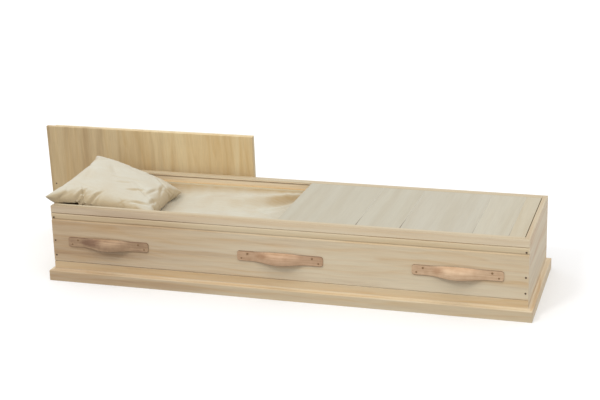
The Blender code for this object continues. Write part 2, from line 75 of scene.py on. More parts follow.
def timber(name, pale, late, heart, grain, shift, ring=0.022, pith=0.09, contrast=0.3,
           heart_share=0.35, roughness=0.52, heart_end=0.0, heart_reach=(0.15, -1.0)):
    """Planed softwood: growth rings round a pith behind the face, darker late wood, fibres.

    Rings are 2 to 4 mm apart in the tree. A flat-sawn face shows them 10 mm and more apart, in
    flames that come and go, and bands of warmer wood 60 mm wide between them. Fibres are finer
    than a tenth of a millimetre, and are drawn 2.4 mm wide. A board cut near the heart at one end
    is browner there, by the share heart_end over the stretch heart_reach.
    """
    material = bpy.data.materials.new(name)
    material.use_nodes = True
    tree = material.node_tree
    shader = tree.nodes["Principled BSDF"]
    place = add_node(tree, "ShaderNodeTexCoord")
    board = add_node(tree, "ShaderNodeMapping", {"Rotation": grain, "Location": shift},
                     {"Vector": place.outputs["Object"]})
    stretched = add_node(tree, "ShaderNodeMapping", {"Scale": (0.9, 7.0, 7.0)},
                         {"Vector": board.outputs[0]})
    wander = add_node(tree, "ShaderNodeTexNoise", {"Scale": 1.0, "Detail": 3.0, "Roughness": 0.55},
                      {"Vector": stretched.outputs[0]})
    across = add_node(tree, "ShaderNodeMapping",
                      {"Scale": (0.0, 1.0, 1.0), "Location": (0.0, 0.0, pith)},
                      {"Vector": board.outputs[0]})
    radius = add_node(tree, "ShaderNodeVectorMath", {}, {0: across.outputs[0]}, operation="LENGTH")
    wavy = add_node(tree, "ShaderNodeMath", {1: ring * 7.0},
                    {0: wander.outputs["Fac"], 2: radius.outputs["Value"]}, operation="MULTIPLY_ADD")
    turns = add_node(tree, "ShaderNodeMath", {1: ring}, {0: wavy.outputs[0]}, operation="DIVIDE")
    year = add_node(tree, "ShaderNodeMath", {}, {0: turns.outputs[0]}, operation="FRACT")
    late_wood = add_node(tree, "ShaderNodeValToRGB", {}, {"Fac": year.outputs[0]})
    for stop, grey in ((0.45, 0.12), (0.82, 1.0)):
        late_wood.color_ramp.elements.new(stop).color = (grey, grey, grey, 1.0)
    late_wood.color_ramp.elements[-1].color = (0.0, 0.0, 0.0, 1.0)
    fibre_place = add_node(tree, "ShaderNodeMapping", {"Scale": (9.0, 420.0, 420.0)},
                           {"Vector": board.outputs[0]})
    fibres = add_node(tree, "ShaderNodeTexNoise", {"Scale": 1.0, "Detail": 4.0, "Roughness": 0.6},
                      {"Vector": fibre_place.outputs[0]})
    streak_place = add_node(tree, "ShaderNodeMapping", {"Scale": (1.1, 22.0, 22.0)},
                            {"Vector": board.outputs[0]})
    streaks = add_node(tree, "ShaderNodeTexNoise", {"Scale": 1.0, "Detail": 5.0, "Roughness": 0.6},
                       {"Vector": streak_place.outputs[0]})
    heart_wood = add_node(tree, "ShaderNodeMapRange",
                          {"From Min": 0.52, "From Max": 0.80, "To Min": 0.0, "To Max": heart_share},
                          {"Value": streaks.outputs["Fac"]})
    band_place = add_node(tree, "ShaderNodeMapping",
                          {"Scale": (0.8, 17.0, 17.0), "Location": (0.0, 4.7, 2.3)},
                          {"Vector": board.outputs[0]})
    bands = add_node(tree, "ShaderNodeTexNoise", {"Scale": 1.0, "Detail": 4.0, "Roughness": 0.55},
                     {"Vector": band_place.outputs[0]})
    flames = add_node(tree, "ShaderNodeMapRange",
                      {"From Min": 0.38, "From Max": 0.66, "To Min": 0.25 * contrast,
                       "To Max": 1.7 * contrast},
                      {"Value": bands.outputs["Fac"]})
    ring_share = add_node(tree, "ShaderNodeMath", {},
                          {0: late_wood.outputs["Color"], 1: flames.outputs[0]},
                          operation="MULTIPLY")
    warmth = add_node(tree, "ShaderNodeMapRange",
                      {"From Min": 0.40, "From Max": 0.68, "To Min": 0.0, "To Max": 0.55},
                      {"Value": bands.outputs["Fac"]})
    warmed = add_node(tree, "ShaderNodeMix", {6: linear(pale), 7: linear(late)},
                      {0: warmth.outputs[0]}, data_type="RGBA")
    ringed = add_node(tree, "ShaderNodeMix", {7: linear(late)},
                      {0: ring_share.outputs[0], 6: warmed.outputs[2]}, data_type="RGBA")
    along = add_node(tree, "ShaderNodeSeparateXYZ", {}, {0: place.outputs["Object"]})
    towards_end = add_node(tree, "ShaderNodeMapRange",
                           {"From Min": heart_reach[0], "From Max": heart_reach[1], "To Min": 0.0,
                            "To Max": heart_end},
                           {"Value": along.outputs["X"]}, interpolation_type="SMOOTHSTEP")
    drift_tone = add_node(tree, "ShaderNodeMapRange",
                          {"From Min": 0.30, "From Max": 0.62, "To Min": 0.25, "To Max": 1.0},
                          {"Value": streaks.outputs["Fac"]})
    drift = add_node(tree, "ShaderNodeMath", {},
                     {0: towards_end.outputs[0], 1: drift_tone.outputs[0]}, operation="MULTIPLY")
    heart_all = add_node(tree, "ShaderNodeMath", {}, {0: heart_wood.outputs[0], 1: drift.outputs[0]},
                         operation="ADD", use_clamp=True)
    hearted = add_node(tree, "ShaderNodeMix", {7: linear(heart)},
                       {0: heart_all.outputs[0], 6: ringed.outputs[2]}, data_type="RGBA")
    fibre_tone = add_node(tree, "ShaderNodeMapRange",
                          {"From Min": 0.3, "From Max": 0.7, "To Min": 0.93, "To Max": 1.05},
                          {"Value": fibres.outputs["Fac"]})
    toned = add_node(tree, "ShaderNodeMix", {0: 1.0},
                     {6: hearted.outputs[2], 7: fibre_tone.outputs[0]},
                     data_type="RGBA", blend_type="MULTIPLY")
    tree.links.new(toned.outputs[2], shader.inputs["Base Color"])
    gloss = add_node(tree, "ShaderNodeMapRange",
                     {"From Min": 0.3, "From Max": 0.7, "To Min": roughness - 0.06,
                      "To Max": roughness + 0.08},
                     {"Value": fibres.outputs["Fac"]})
    tree.links.new(gloss.outputs[0], shader.inputs["Roughness"])
    relief = add_node(tree, "ShaderNodeMath", {1: 0.6},
                      {0: fibres.outputs["Fac"], 2: ring_share.outputs[0]}, operation="MULTIPLY_ADD")
    bump = add_node(tree, "ShaderNodeBump", {"Strength": 0.25, "Distance": 0.0006},
                    {"Height": relief.outputs[0]})
    tree.links.new(bump.outputs[0], shader.inputs["Normal"])
    shader.inputs["IOR"].default_value = 1.45
    return material


def dress(node, material):
    """Give a CAD node its finish."""
    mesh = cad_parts[node].data
    mesh.materials.clear()
    mesh.materials.append(material)


# Bands of tone as (lowest, highest, tint, share), in metres above the floor. The rim's top is darker
# and the face above the routed groove is pale. The lip under the groove has a painted highlight, the
# routed hollow is pale, partly its own cut and partly painted light, dark in its corner with painted
# shade, and the foot is yellower.
RIM_TOP = (RIM - 0.0008, RIM + 0.0130, "A89C82", 0.50)
ROUTED_BANDS = (
    RIM_TOP,
    (RIM - 0.0285, RIM - 0.0008, "F3E5CB", 0.33),
    # A painted highlight on the lip just under the routed groove
    (RIM - 0.0370, RIM - 0.0324, "F6E8CC", 0.35),
    # The hollow's pale warm tone, partly its own cut and partly painted light
    (RIM - 0.0545, RIM - 0.0324, "F0D9AE", 0.40),
    # Painted shade in the hollow's corner, over this band and the next
    (RIM - 0.0598, RIM - 0.0545, "9A7C52", 0.30),
    (RIM - 0.0640, RIM - 0.0598, "B0935F", 0.25),
    (0.0500, 0.0810, "D6AA64", 0.30),
)


def tint_band(material, lowest, highest, tint, share):
    """Tint the wood between two levels above the floor. The bands give its own tones and also painted
    highlights and painted shade.
    """
    tree = material.node_tree
    shader = tree.nodes["Principled BSDF"]
    wood = shader.inputs["Base Color"].links[0].from_socket
    place = add_node(tree, "ShaderNodeTexCoord")
    level = add_node(tree, "ShaderNodeSeparateXYZ", {}, {0: place.outputs["Object"]})
    inside = add_node(tree, "ShaderNodeMath",
                      {1: (lowest + highest) / 2, 2: (highest - lowest) / 2},
                      {0: level.outputs["Z"]}, operation="COMPARE")
    part = add_node(tree, "ShaderNodeMath", {1: share}, {0: inside.outputs[0]}, operation="MULTIPLY")
    tinted = add_node(tree, "ShaderNodeMix", {7: linear(tint)}, {0: part.outputs[0], 6: wood},
                      data_type="RGBA")
    tree.links.new(tinted.outputs[2], shader.inputs["Base Color"])


front_pine = timber("oiled pine front side", PINE_PALE, PINE_LATE, PINE_HEART, ALONG_X,
                    (0.35, 0.02, 0.04), contrast=0.35, heart_share=0.55, heart_end=0.66,
                    heart_reach=(0.25, -1.0))
rear_pine = timber("oiled pine rear side", PINE_PALE, PINE_LATE, PINE_HEART, ALONG_X,
                   (7.1, 0.05, 0.10), contrast=0.3, heart_share=0.45)
for board, pine in (("side_front", front_pine), ("side_rear", rear_pine)):
    for band in ROUTED_BANDS:
        tint_band(pine, *band)
    dress(board, pine)
for end, shift in (("foot", (3.3, 0.4, 0.02)), ("head", (5.9, 0.2, 0.07))):
    end_pine = timber(f"oiled pine {end} end", PINE_PALE, "C99C66", PINE_HEART, ALONG_Y, shift,
                      contrast=0.45, heart_share=0.3)
    tint_band(end_pine, *RIM_TOP)
    dress(f"end_{end}", end_pine)

# The plinth is pine too, mitred at the corners, and hides the edge of the plywood bottom, whose
# face shows only from below and under the lining.

plinth_boards = (
    ("front", "DACCB0", "D2B488", ALONG_X, (12.4, 0.3, 0.15), 0.75),
    ("rear", PINE_PALE, PINE_LATE, ALONG_X, (15.8, 0.1, 0.05), 0.0),
    ("head", PINE_PALE, PINE_LATE, ALONG_Y, (18.2, 0.3, 0.11), 0.0),
    ("foot", PINE_PALE, PINE_LATE, ALONG_Y, (21.7, 0.2, 0.09), 0.0),
)
for side, pale, late, grain, shift, heart_end in plinth_boards:
    dress(f"plinth_{side}", timber(f"oiled pine plinth {side}", pale, late, PINE_HEART, grain, shift,
                                   contrast=0.4, heart_share=0.3, heart_end=heart_end))
dress("bottom_board", timber("plywood", "DDC39A", "C6A273", "B8936A", ALONG_X, (30.1, 0.0, 0.6),
                             ring=0.045, pith=0.4, contrast=0.7, heart_share=0.2, roughness=0.62))

# Rails along the rim hold the lids from the sides, and ledges carry them. They are pine strips,
# glued and pinned to the boards from inside.

# The line routed along a rail's inner face, darkened with painted shade
RAIL_GROOVE_SHADE = (RIM - 0.0122, RIM - 0.0080, "7E5A36", 0.60)
for node, shift in (("rail_front", (33.3, 0.6, 0.31)), ("rail_rear", (36.9, 0.5, 0.27))):
    rail_pine = timber(f"oiled pine {node}", "E4D5BA", "D6BC92", PINE_HEART, ALONG_X, shift,
                       contrast=0.35, heart_share=0.15)
    tint_band(rail_pine, *RAIL_GROOVE_SHADE)
    tint_band(rail_pine, *RIM_TOP)
    dress(node, rail_pine)
ledge_strips = (
    ("bare pine ledge", ALONG_X, (41.2, 0.4, 0.22), ("front", "rear")),
    ("bare pine end ledge", ALONG_Y, (44.6, 0.1, 0.35), ("head", "foot")),
)
for name, grain, shift, sides in ledge_strips:
    ledge_pine = timber(name, "DEC397", "CBA36E", PINE_HEART, grain, shift, contrast=0.5,
                        heart_share=0.2, roughness=0.6)
    for side in sides:
        dress(f"ledge_{side}", ledge_pine)

# Three cross-head screws hold each end of both long sides to the end boards. They are browned
# steel, driven in until their heads are almost flush with the wood.

SCREW_LEVELS = (0.277, 0.175, 0.110)
SCREW_FROM_END = 0.011
SCREW_RADIUS = 0.0038
SCREW_PROUD = 0.0007
SCREW_CROWN = 0.0003
CASKET_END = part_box("side_front")[1].x
WALL_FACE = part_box("side_rear")[1].y


def finish_piece(piece, name, material):
    """Name a finished piece, give it its material and let it ride on the casket."""
    piece.name = name
    piece.data.name = name
    piece.data.materials.clear()
    piece.data.materials.append(material)
    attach(piece, "root")


def pick_faces(piece, wanted):
    """Select the faces of a piece in edit mode that pass a test."""
    working = bmesh.from_edit_mesh(piece.data)
    for face in working.faces:
        face.select_set(False)
    for face in working.faces:
        if wanted(face):
            face.select_set(True)
    bmesh.update_edit_mesh(piece.data)


def screw_head(radius, height, crown):
    """A cross-head screw's head, its flat back on the XZ plane, looking along -Y."""
    bpy.ops.object.select_all(action="DESELECT")
    bpy.ops.mesh.primitive_cylinder_add(vertices=24, radius=radius, depth=height,
                                        location=(0, 0, height / 2))
    head = bpy.context.object
    bpy.ops.object.transform_apply(location=True, rotation=True, scale=True)
    bpy.ops.object.mode_set(mode="EDIT")
    for lift in (crown * 0.6, crown * 0.4):
        pick_faces(head, lambda face: face.normal.z > 0.99)
        bpy.ops.mesh.inset(thickness=radius * 0.28)
        bpy.ops.transform.translate(value=(0, 0, lift))
    bpy.ops.object.mode_set(mode="OBJECT")
    for turn in (0.0, math.pi / 2):
        bpy.ops.mesh.primitive_cube_add(size=1.0, location=(0, 0, height + crown))
        bar = bpy.context.object
        bar.scale = (radius * 1.1, radius * 0.26, height * 1.1)
        bar.rotation_euler.z = turn
        bpy.ops.object.transform_apply(location=False, rotation=True, scale=True)
        slot_cut = head.modifiers.new("cross", "BOOLEAN")
        slot_cut.object = bar
        slot_cut.operation = "DIFFERENCE"
        slot_cut.solver = "EXACT"
        bpy.context.view_layer.objects.active = head
        bpy.ops.object.modifier_apply(modifier="cross")
        bpy.data.objects.remove(bar)
    head.data.transform(Matrix.Rotation(math.pi / 2, 4, "X"))
    return head


def copy_to(original, place):
    """A copy of a piece with its own mesh, its place in the mesh."""
    mesh = original.data.copy()
    mesh.transform(place)
    copy = bpy.data.objects.new(original.name, mesh)
    bpy.context.scene.collection.objects.link(copy)
    return copy


def metal(name, bright, dull, roughness):
    """Screw metal with a satin shine: bright where it is worn, a dull brown bloom in 2 mm patches."""
    material = bpy.data.materials.new(name)
    material.use_nodes = True
    tree = material.node_tree
    shader = tree.nodes["Principled BSDF"]
    place = add_node(tree, "ShaderNodeTexCoord")
    patches = add_node(tree, "ShaderNodeTexNoise", {"Scale": 500.0, "Detail": 3.0},
                       {"Vector": place.outputs["Object"]})
    colour = add_node(tree, "ShaderNodeMix", {6: linear(bright), 7: linear(dull)},
                      {0: patches.outputs["Fac"]}, data_type="RGBA")
    tree.links.new(colour.outputs[2], shader.inputs["Base Color"])
    gloss = add_node(tree, "ShaderNodeMapRange",
                     {"To Min": roughness - 0.1, "To Max": roughness + 0.15},
                     {"Value": patches.outputs["Fac"]})
    tree.links.new(gloss.outputs[0], shader.inputs["Roughness"])
    shader.inputs["Metallic"].default_value = 0.85
    return material


browned_steel = metal("browned steel screw", "6B5848", "3E3026", 0.42)
corner_screw = screw_head(SCREW_RADIUS, SCREW_PROUD, SCREW_CROWN)
WALLS = (("front", -WALL_FACE, 0.0), ("rear", WALL_FACE, math.pi))
for side, across, turn in WALLS:
    for end, along in (("head", SCREW_FROM_END - CASKET_END), ("foot", CASKET_END - SCREW_FROM_END)):
        for number, level in enumerate(SCREW_LEVELS, start=1):
            wall = Matrix.Translation((along, across, level)) @ Matrix.Rotation(turn, 4, "Z")
            # No two slots are turned alike, as a screwdriver leaves them.
            spin = Matrix.Rotation(0.7 * number + along, 4, "Y")
            screw = copy_to(corner_screw, wall @ spin)
            finish_piece(screw, f"corner_screw_{side}_{end}_{number}", browned_steel)
bpy.data.objects.remove(corner_screw)

# The foot half of the lid lies in its place: five wide planks, planed and left bare, so paler and
# greyer than the oiled box, glued side by side across a plywood core.

foot_planks = (
    ("BDB7A5", "B5AC97", (2.0, 0.10, 0.30)),
    ("BEB8A6", "B6AD98", (4.7, 0.35, 0.12)),
    ("BFB9A8", "B7AE9A", (6.9, 0.20, 0.44)),
    ("C1BAA7", "B8AD96", (9.4, 0.50, 0.21)),
    ("C3B9A2", "BAAA8C", (11.8, 0.15, 0.37)),
)
# The two joints nearest the middle have opened most. The lid's own ends aren't joints.
JOINT_RANGE = (0.0, 0.95)
OPEN_JOINTS_END = 0.60
TIGHT_JOINT_DARK = 0.35
JOINT_HALF_WIDTH = 0.0016
JOINT_SHARE = 0.75


def open_joint(material, edges):
    """A glue joint that has opened by a hair near the front: a dark line that fades inwards.

    Further in, the planed arris beside the joint is paler than the plank.
    """
    tree = material.node_tree
    shader = tree.nodes["Principled BSDF"]
    wood = shader.inputs["Base Color"].links[0].from_socket
    place = add_node(tree, "ShaderNodeTexCoord")
    at = add_node(tree, "ShaderNodeSeparateXYZ", {}, {0: place.outputs["Object"]})
    opened = add_node(tree, "ShaderNodeMapRange",
                      {"From Min": -0.250, "From Max": -0.120, "To Min": 1.0, "To Max": 0.0},
                      {"Value": at.outputs["Y"]})
    for edge in edges:
        darkest = 1.0 if edge < OPEN_JOINTS_END else TIGHT_JOINT_DARK
        dark = add_node(tree, "ShaderNodeMath", {1: darkest}, {0: opened.outputs[0]},
                        operation="MULTIPLY")
        tone = add_node(tree, "ShaderNodeMix", {6: linear("CAC5B5"), 7: linear("6E5B42")},
                        {0: dark.outputs[0]}, data_type="RGBA")
        line = add_node(tree, "ShaderNodeMath", {1: edge, 2: JOINT_HALF_WIDTH}, {0: at.outputs["X"]},
                        operation="COMPARE")
        share = add_node(tree, "ShaderNodeMath", {1: JOINT_SHARE}, {0: line.outputs[0]},
                         operation="MULTIPLY")
        lined = add_node(tree, "ShaderNodeMix", {},
                         {0: share.outputs[0], 6: wood, 7: tone.outputs[2]}, data_type="RGBA")
        wood = lined.outputs[2]
    tree.links.new(wood, shader.inputs["Base Color"])


for number, (pale, late, shift) in enumerate(foot_planks, start=1):
    node = f"foot_lid_plank_{number}"
    bare = timber(f"bare pine {node}", pale, late, "ADA187", ALONG_Y, shift, ring=0.030,
                  pith=0.3, contrast=0.25, heart_share=0.3, roughness=0.6)
    low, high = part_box(node)
    open_joint(bare, [edge for edge in (low.x, high.x) if JOINT_RANGE[0] < edge < JOINT_RANGE[1]])
    dress(node, bare)
CORE_FACE = ("E0CBA0", "CFAE78", "A98C66")
dress("foot_lid_core", timber("plywood foot core", *CORE_FACE, ALONG_Y, (50.3, 0.3, 0.2),
                              ring=0.030, pith=0.5, contrast=0.35, roughness=0.58))

# The head half of the lid stands on its long edge behind the box, its plywood core to the front.
# The veneer's grain runs across the lid, so upright here. Its planks show from behind.

ALONG_Z = (0.0, math.pi / 2, 0.0)
dress("head_lid_core", timber("plywood head core", *CORE_FACE, ALONG_Z, (53.9, 0.8, 0.1),
                              ring=0.030, pith=0.5, contrast=0.3, heart_share=0.4, roughness=0.55,
                              heart_end=0.6, heart_reach=(-0.60, -1.25)))
for number in range(1, 6):
    node = f"head_lid_plank_{number}"
    dress(node, timber(f"bare pine {node}", "E4D6B8", "D0BD96", "B9A27E", ALONG_Z,
                       (57.0 + 2.7 * number, 0.2 * number, 0.1 * number), ring=0.016, pith=0.3,
                       contrast=0.45, heart_share=0.3, roughness=0.6))
# One small screw sits near the lower corner, on the leaning front face.
LID_SCREW_PLACE = (-1.282, 0.3278, 0.221)
LID_LEAN = math.radians(2.3)
lid_screw = screw_head(0.0034, 0.0006, SCREW_CROWN)
lid_screw.data.transform(Matrix.Translation(LID_SCREW_PLACE) @ Matrix.Rotation(LID_LEAN, 4, "X"))
finish_piece(lid_screw, "head_lid_screw", browned_steel)

# Six straps of pale vegetable-tanned leather are the handles. Each is cut wide at its tabs and
# bowed out at the grip, its edges rounded and darkened, partly by burnishing and partly by painted
# shade, and screwed to the wall.

STRAP_LENGTH = 0.360
TAB_LENGTH = 0.062
TAB_WIDTH = 0.042
STRAP_THICKNESS = 0.0042
STRAP_CORNER = 0.010
STRAP_BOW = 0.037
STRAP_HEIGHT = 0.174
STRAP_OFF_WALL = 0.0005
STRAP_STATIONS = 44
STRAP_COLUMNS = 12
# The grip's cross-section from its upper edge down, as (share of the bow, height in metres)
GRIP_SECTION = ((0.22, 0.0220), (0.50, 0.0205), (0.76, 0.0155), (0.94, 0.0070), (1.00, -0.0020),
                (1.00, -0.0110), (0.96, -0.0190))
# The painted shade at the bend beside the left tab, as its place on the UV map
BEND_SHADE_PLACE = (0.36, 0.58)


def leather(name, pale, dark, shift, bend_shade_dark, bend_shade_narrow):
    """Vegetable-tanned leather, smooth side out: a soft sheen on a mottled tan, dark at its edges.

    Pores are 1 mm and wrinkles 6 mm apart. Handling has drawn it into creases along the grip, and
    painted shade darkens the tan along them and where it bends away from its left tab. The dark
    edges are 3 mm wide, partly burnish and partly painted shade, and the creases are drawn 4 mm wide.
    """
    material = bpy.data.materials.new(name)
    material.use_nodes = True
    tree = material.node_tree
    shader = tree.nodes["Principled BSDF"]
    place = add_node(tree, "ShaderNodeTexCoord")
    mottle = add_node(tree, "ShaderNodeTexNoise", {"Scale": 26.0, "Detail": 5.0, "Roughness": 0.6},
                      {"Vector": place.outputs["Object"]})
    pores = add_node(tree, "ShaderNodeTexNoise", {"Scale": 900.0, "Detail": 2.0},
                     {"Vector": place.outputs["Object"]})
    wrinkles = add_node(tree, "ShaderNodeTexVoronoi", {"Scale": 160.0},
                        {"Vector": place.outputs["Object"]}, feature="DISTANCE_TO_EDGE")
    drawn = add_node(tree, "ShaderNodeMapping", {"Scale": (3.0, 12.0, 0.0), "Location": shift},
                     {"Vector": place.outputs["UV"]})
    creases = add_node(tree, "ShaderNodeTexNoise", {"Scale": 1.0, "Detail": 3.0, "Roughness": 0.6},
                       {"Vector": drawn.outputs[0]})
    # The tan darkens along the creases, where the bump folds in: painted shade, over the random mottle
    tone = add_node(tree, "ShaderNodeMath", {1: 1.6},
                    {0: creases.outputs["Fac"], 2: mottle.outputs["Fac"]}, operation="MULTIPLY_ADD")
    layout = add_node(tree, "ShaderNodeSeparateXYZ", {}, {0: place.outputs["UV"]})
    # Painted shade where the strap bends away from its left tab
    bend_shade_centre = add_node(tree, "ShaderNodeMapping",
                          {"Location": (-BEND_SHADE_PLACE[0], -BEND_SHADE_PLACE[1], 0.0)},
                          {"Vector": place.outputs["UV"]})
    bend_shade_reach = add_node(tree, "ShaderNodeMapping", {"Scale": (bend_shade_narrow, 2.2, 0.0)},
                          {"Vector": bend_shade_centre.outputs[0]})
    from_bend_shade = add_node(tree, "ShaderNodeVectorMath", {}, {0: bend_shade_reach.outputs[0]},
                         operation="LENGTH")
    bend_shade_share = add_node(tree, "ShaderNodeMapRange",
                    {"From Min": 0.2, "From Max": 1.0, "To Min": bend_shade_dark, "To Max": 0.0},
                    {"Value": from_bend_shade.outputs["Value"]}, interpolation_type="SMOOTHSTEP")
    crease_shade_share = add_node(tree, "ShaderNodeMapRange", {"From Min": 0.98, "From Max": 1.85},
                           {"Value": tone.outputs[0]})
    mottle_and_shade_share = add_node(tree, "ShaderNodeMath", {},
                          {0: crease_shade_share.outputs[0], 1: bend_shade_share.outputs[0]}, operation="ADD",
                          use_clamp=True)
    tan = add_node(tree, "ShaderNodeMix", {6: linear(pale), 7: linear(dark)},
                   {0: mottle_and_shade_share.outputs[0]}, data_type="RGBA")
    off_middle = add_node(tree, "ShaderNodeMath", {1: 0.5}, {0: layout.outputs["Y"]},
                          operation="SUBTRACT")
    to_edge = add_node(tree, "ShaderNodeMath", {}, {0: off_middle.outputs[0]}, operation="ABSOLUTE")
    # The dark edges are partly burnish and partly painted shade along the strap's edge
    edge_burnish_and_shade = add_node(tree, "ShaderNodeMapRange",
                         {"From Min": 0.43, "From Max": 0.495, "To Min": 0.0, "To Max": 0.75},
                         {"Value": to_edge.outputs[0]})
    edged = add_node(tree, "ShaderNodeMix", {7: linear("6E4E38")},
                     {0: edge_burnish_and_shade.outputs[0], 6: tan.outputs[2]}, data_type="RGBA")
    tree.links.new(edged.outputs[2], shader.inputs["Base Color"])
    gloss = add_node(tree, "ShaderNodeMapRange", {"To Min": 0.55, "To Max": 0.75},
                     {"Value": mottle.outputs["Fac"]})
    tree.links.new(gloss.outputs[0], shader.inputs["Roughness"])
    grain = add_node(tree, "ShaderNodeMath", {1: 0.4},
                     {0: pores.outputs["Fac"], 2: wrinkles.outputs["Distance"]},
                     operation="MULTIPLY_ADD")
    relief = add_node(tree, "ShaderNodeMath", {1: -3.0},
                      {0: creases.outputs["Fac"], 2: grain.outputs[0]}, operation="MULTIPLY_ADD")
    bump = add_node(tree, "ShaderNodeBump", {"Strength": 0.32, "Distance": 0.0007},
                    {"Height": relief.outputs[0]})
    tree.links.new(bump.outputs[0], shader.inputs["Normal"])
    return material


def grip_point(share):
    """A point of the grip's cross-section, smooth between the given ones, share 0 at the top."""
    last = len(GRIP_SECTION) - 1
    at = share * last
    left = min(int(at), last - 1)
    near = [GRIP_SECTION[min(max(left + step, 0), last)] for step in (-1, 0, 1, 2)]
    t = at - left
    point = []
    for a, b, c, d in zip(*near):
        point.append(0.5 * (2 * b + (c - a) * t + (2 * a - 5 * b + 4 * c - d) * t * t
                            + (3 * b - a - 3 * c + d) * t ** 3))
    return point


def strap_half_width(along):
    """Half the flat strap's width, round at the outer corners of the tabs."""
    half = TAB_WIDTH / 2
    into_corner = min(abs(along) - (STRAP_LENGTH / 2 - STRAP_CORNER), STRAP_CORNER)
    if into_corner > 0:
        half -= STRAP_CORNER - math.sqrt(STRAP_CORNER ** 2 - into_corner ** 2)
    return half


def shape_strap():
    """One strap along X, the wall's face at Y = 0, cupped and bowed out towards -Y at the grip."""
    bpy.ops.object.select_all(action="DESELECT")
    bpy.ops.mesh.primitive_grid_add(x_subdivisions=STRAP_STATIONS,
                                    y_subdivisions=STRAP_COLUMNS, size=2)
    strap = bpy.context.object
    grip_half = STRAP_LENGTH / 2 - TAB_LENGTH
    for vertex in strap.data.vertices:
        along = STRAP_LENGTH / 2 * math.sin(vertex.co.x * math.pi / 2)
        cupped = (1 + math.cos(math.pi * min(abs(along) / grip_half, 1.0))) / 2
        off_wall, height = grip_point((1 - vertex.co.y) / 2)
        flat_height = vertex.co.y * strap_half_width(along)
        up = flat_height + (height - flat_height) * cupped
        vertex.co = (along, -(STRAP_OFF_WALL + STRAP_BOW * off_wall * cupped), up)
    bpy.ops.object.mode_set(mode="EDIT")
    bpy.ops.mesh.select_all(action="SELECT")
    bpy.ops.mesh.normals_make_consistent(inside=False)
    bpy.ops.object.mode_set(mode="OBJECT")
    if sum(face.normal.y * face.area for face in strap.data.polygons) > 0:
        strap.data.flip_normals()
    skin = strap.modifiers.new("thickness", "SOLIDIFY")
    skin.thickness = STRAP_THICKNESS
    skin.offset = 1.0
    edge = strap.modifiers.new("rounded edges", "BEVEL")
    edge.width = 0.0011
    edge.segments = 2
    edge.limit_method = "ANGLE"
    edge.angle_limit = math.radians(60)
    for modifier in ("thickness", "rounded edges"):
        bpy.ops.object.modifier_apply(modifier=modifier)
    bpy.ops.object.shade_smooth_by_angle(angle=math.radians(50))
    return strap


# The three have aged apart, and the one at the head is the darkest.
tanned = {
    "head": leather("vegetable-tanned leather, darkened", "B99A79", "82624A", (0.0, 0.0, 0.0),
                    bend_shade_dark=0.75, bend_shade_narrow=6.0),
    "middle": leather("vegetable-tanned leather", "CFAD8C", "A88160", (5.0, 3.0, 0.0),
                      bend_shade_dark=0.55, bend_shade_narrow=13.0),
    "foot": leather("vegetable-tanned leather, pale", "DFC09D", "B99270", (9.0, 7.0, 0.0),
                    bend_shade_dark=0.55, bend_shade_narrow=11.0),
}
strap = shape_strap()
# Each tab's two screws, as (head, distance from the strap's end, height above its middle)
strap_screws = {
    "upper": (screw_head(0.0044, 0.0012, 0.0009), 0.044, 0.010),
    "lower": (screw_head(0.0035, 0.0011, 0.0007), 0.018, -0.009),
}
fixing_brass = metal("antique brass screw", "A98A68", "735A42", 0.45)
for side, across, turn in WALLS:
    for where, tan in tanned.items():
        low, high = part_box(f"handle_{side}_{where}")
        along = (low.x + high.x) / 2
        wall = Matrix.Translation((along, across, STRAP_HEIGHT)) @ Matrix.Rotation(turn, 4, "Z")
        handle = copy_to(strap, wall)
        finish_piece(handle, f"strap_{side}_{where}", tan)
        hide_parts(f"handle_{side}_{where}")
        for row, (head, from_end, rise) in strap_screws.items():
            for hand, way in (("left", -1), ("right", 1)):
                reach = way * (STRAP_LENGTH / 2 - from_end)
                face = -(STRAP_OFF_WALL + STRAP_THICKNESS)
                spin = Matrix.Rotation(1.3 * along + 0.8 * way + rise * 90, 4, "Y")
                screw = copy_to(head, wall @ Matrix.Translation((reach, face, rise)) @ spin)
                finish_piece(screw, f"strap_screw_{side}_{where}_{hand}_{row}", fixing_brass)
                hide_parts(f"handle_{side}_{where}_screw_{hand}_{row}")
bpy.data.objects.remove(strap)
for head, *_ in strap_screws.values():
    bpy.data.objects.remove(head)

# The lining is one length of unbleached calico, tacked along the ledges under a folded hem and
# slung between them. It drops steeply inside the ledges and pulls in long folds to the rear.

LINING_INSET = 0.0002
LINING_BELOW_LEDGE = 0.0032
LINING_HALF_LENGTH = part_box("lining")[1].x - LINING_INSET
LINING_HALF_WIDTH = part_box("lining")[1].y - LINING_INSET
LINING_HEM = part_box("ledge_front")[1].z - LINING_BELOW_LEDGE
LINING_SAG = 0.054
LINING_STEEPNESS = 9.0
LINING_THICKNESS = 0.0011
LINING_CELLS = (300, 100)
# The folds fan out from a point, as (angle from +X and half width in degrees, height in metres).
FAN_POINT = (-0.02, 0.235)
FAN_REACH = 0.66
FAN_FOLDS = ((190, 8.5, 0.0400), (207, 6.0, -0.0110), (218, 5.0, 0.0060), (226, 4.5, -0.0040),
             (236, 5.0, 0.0050), (252, 6.0, -0.0030))


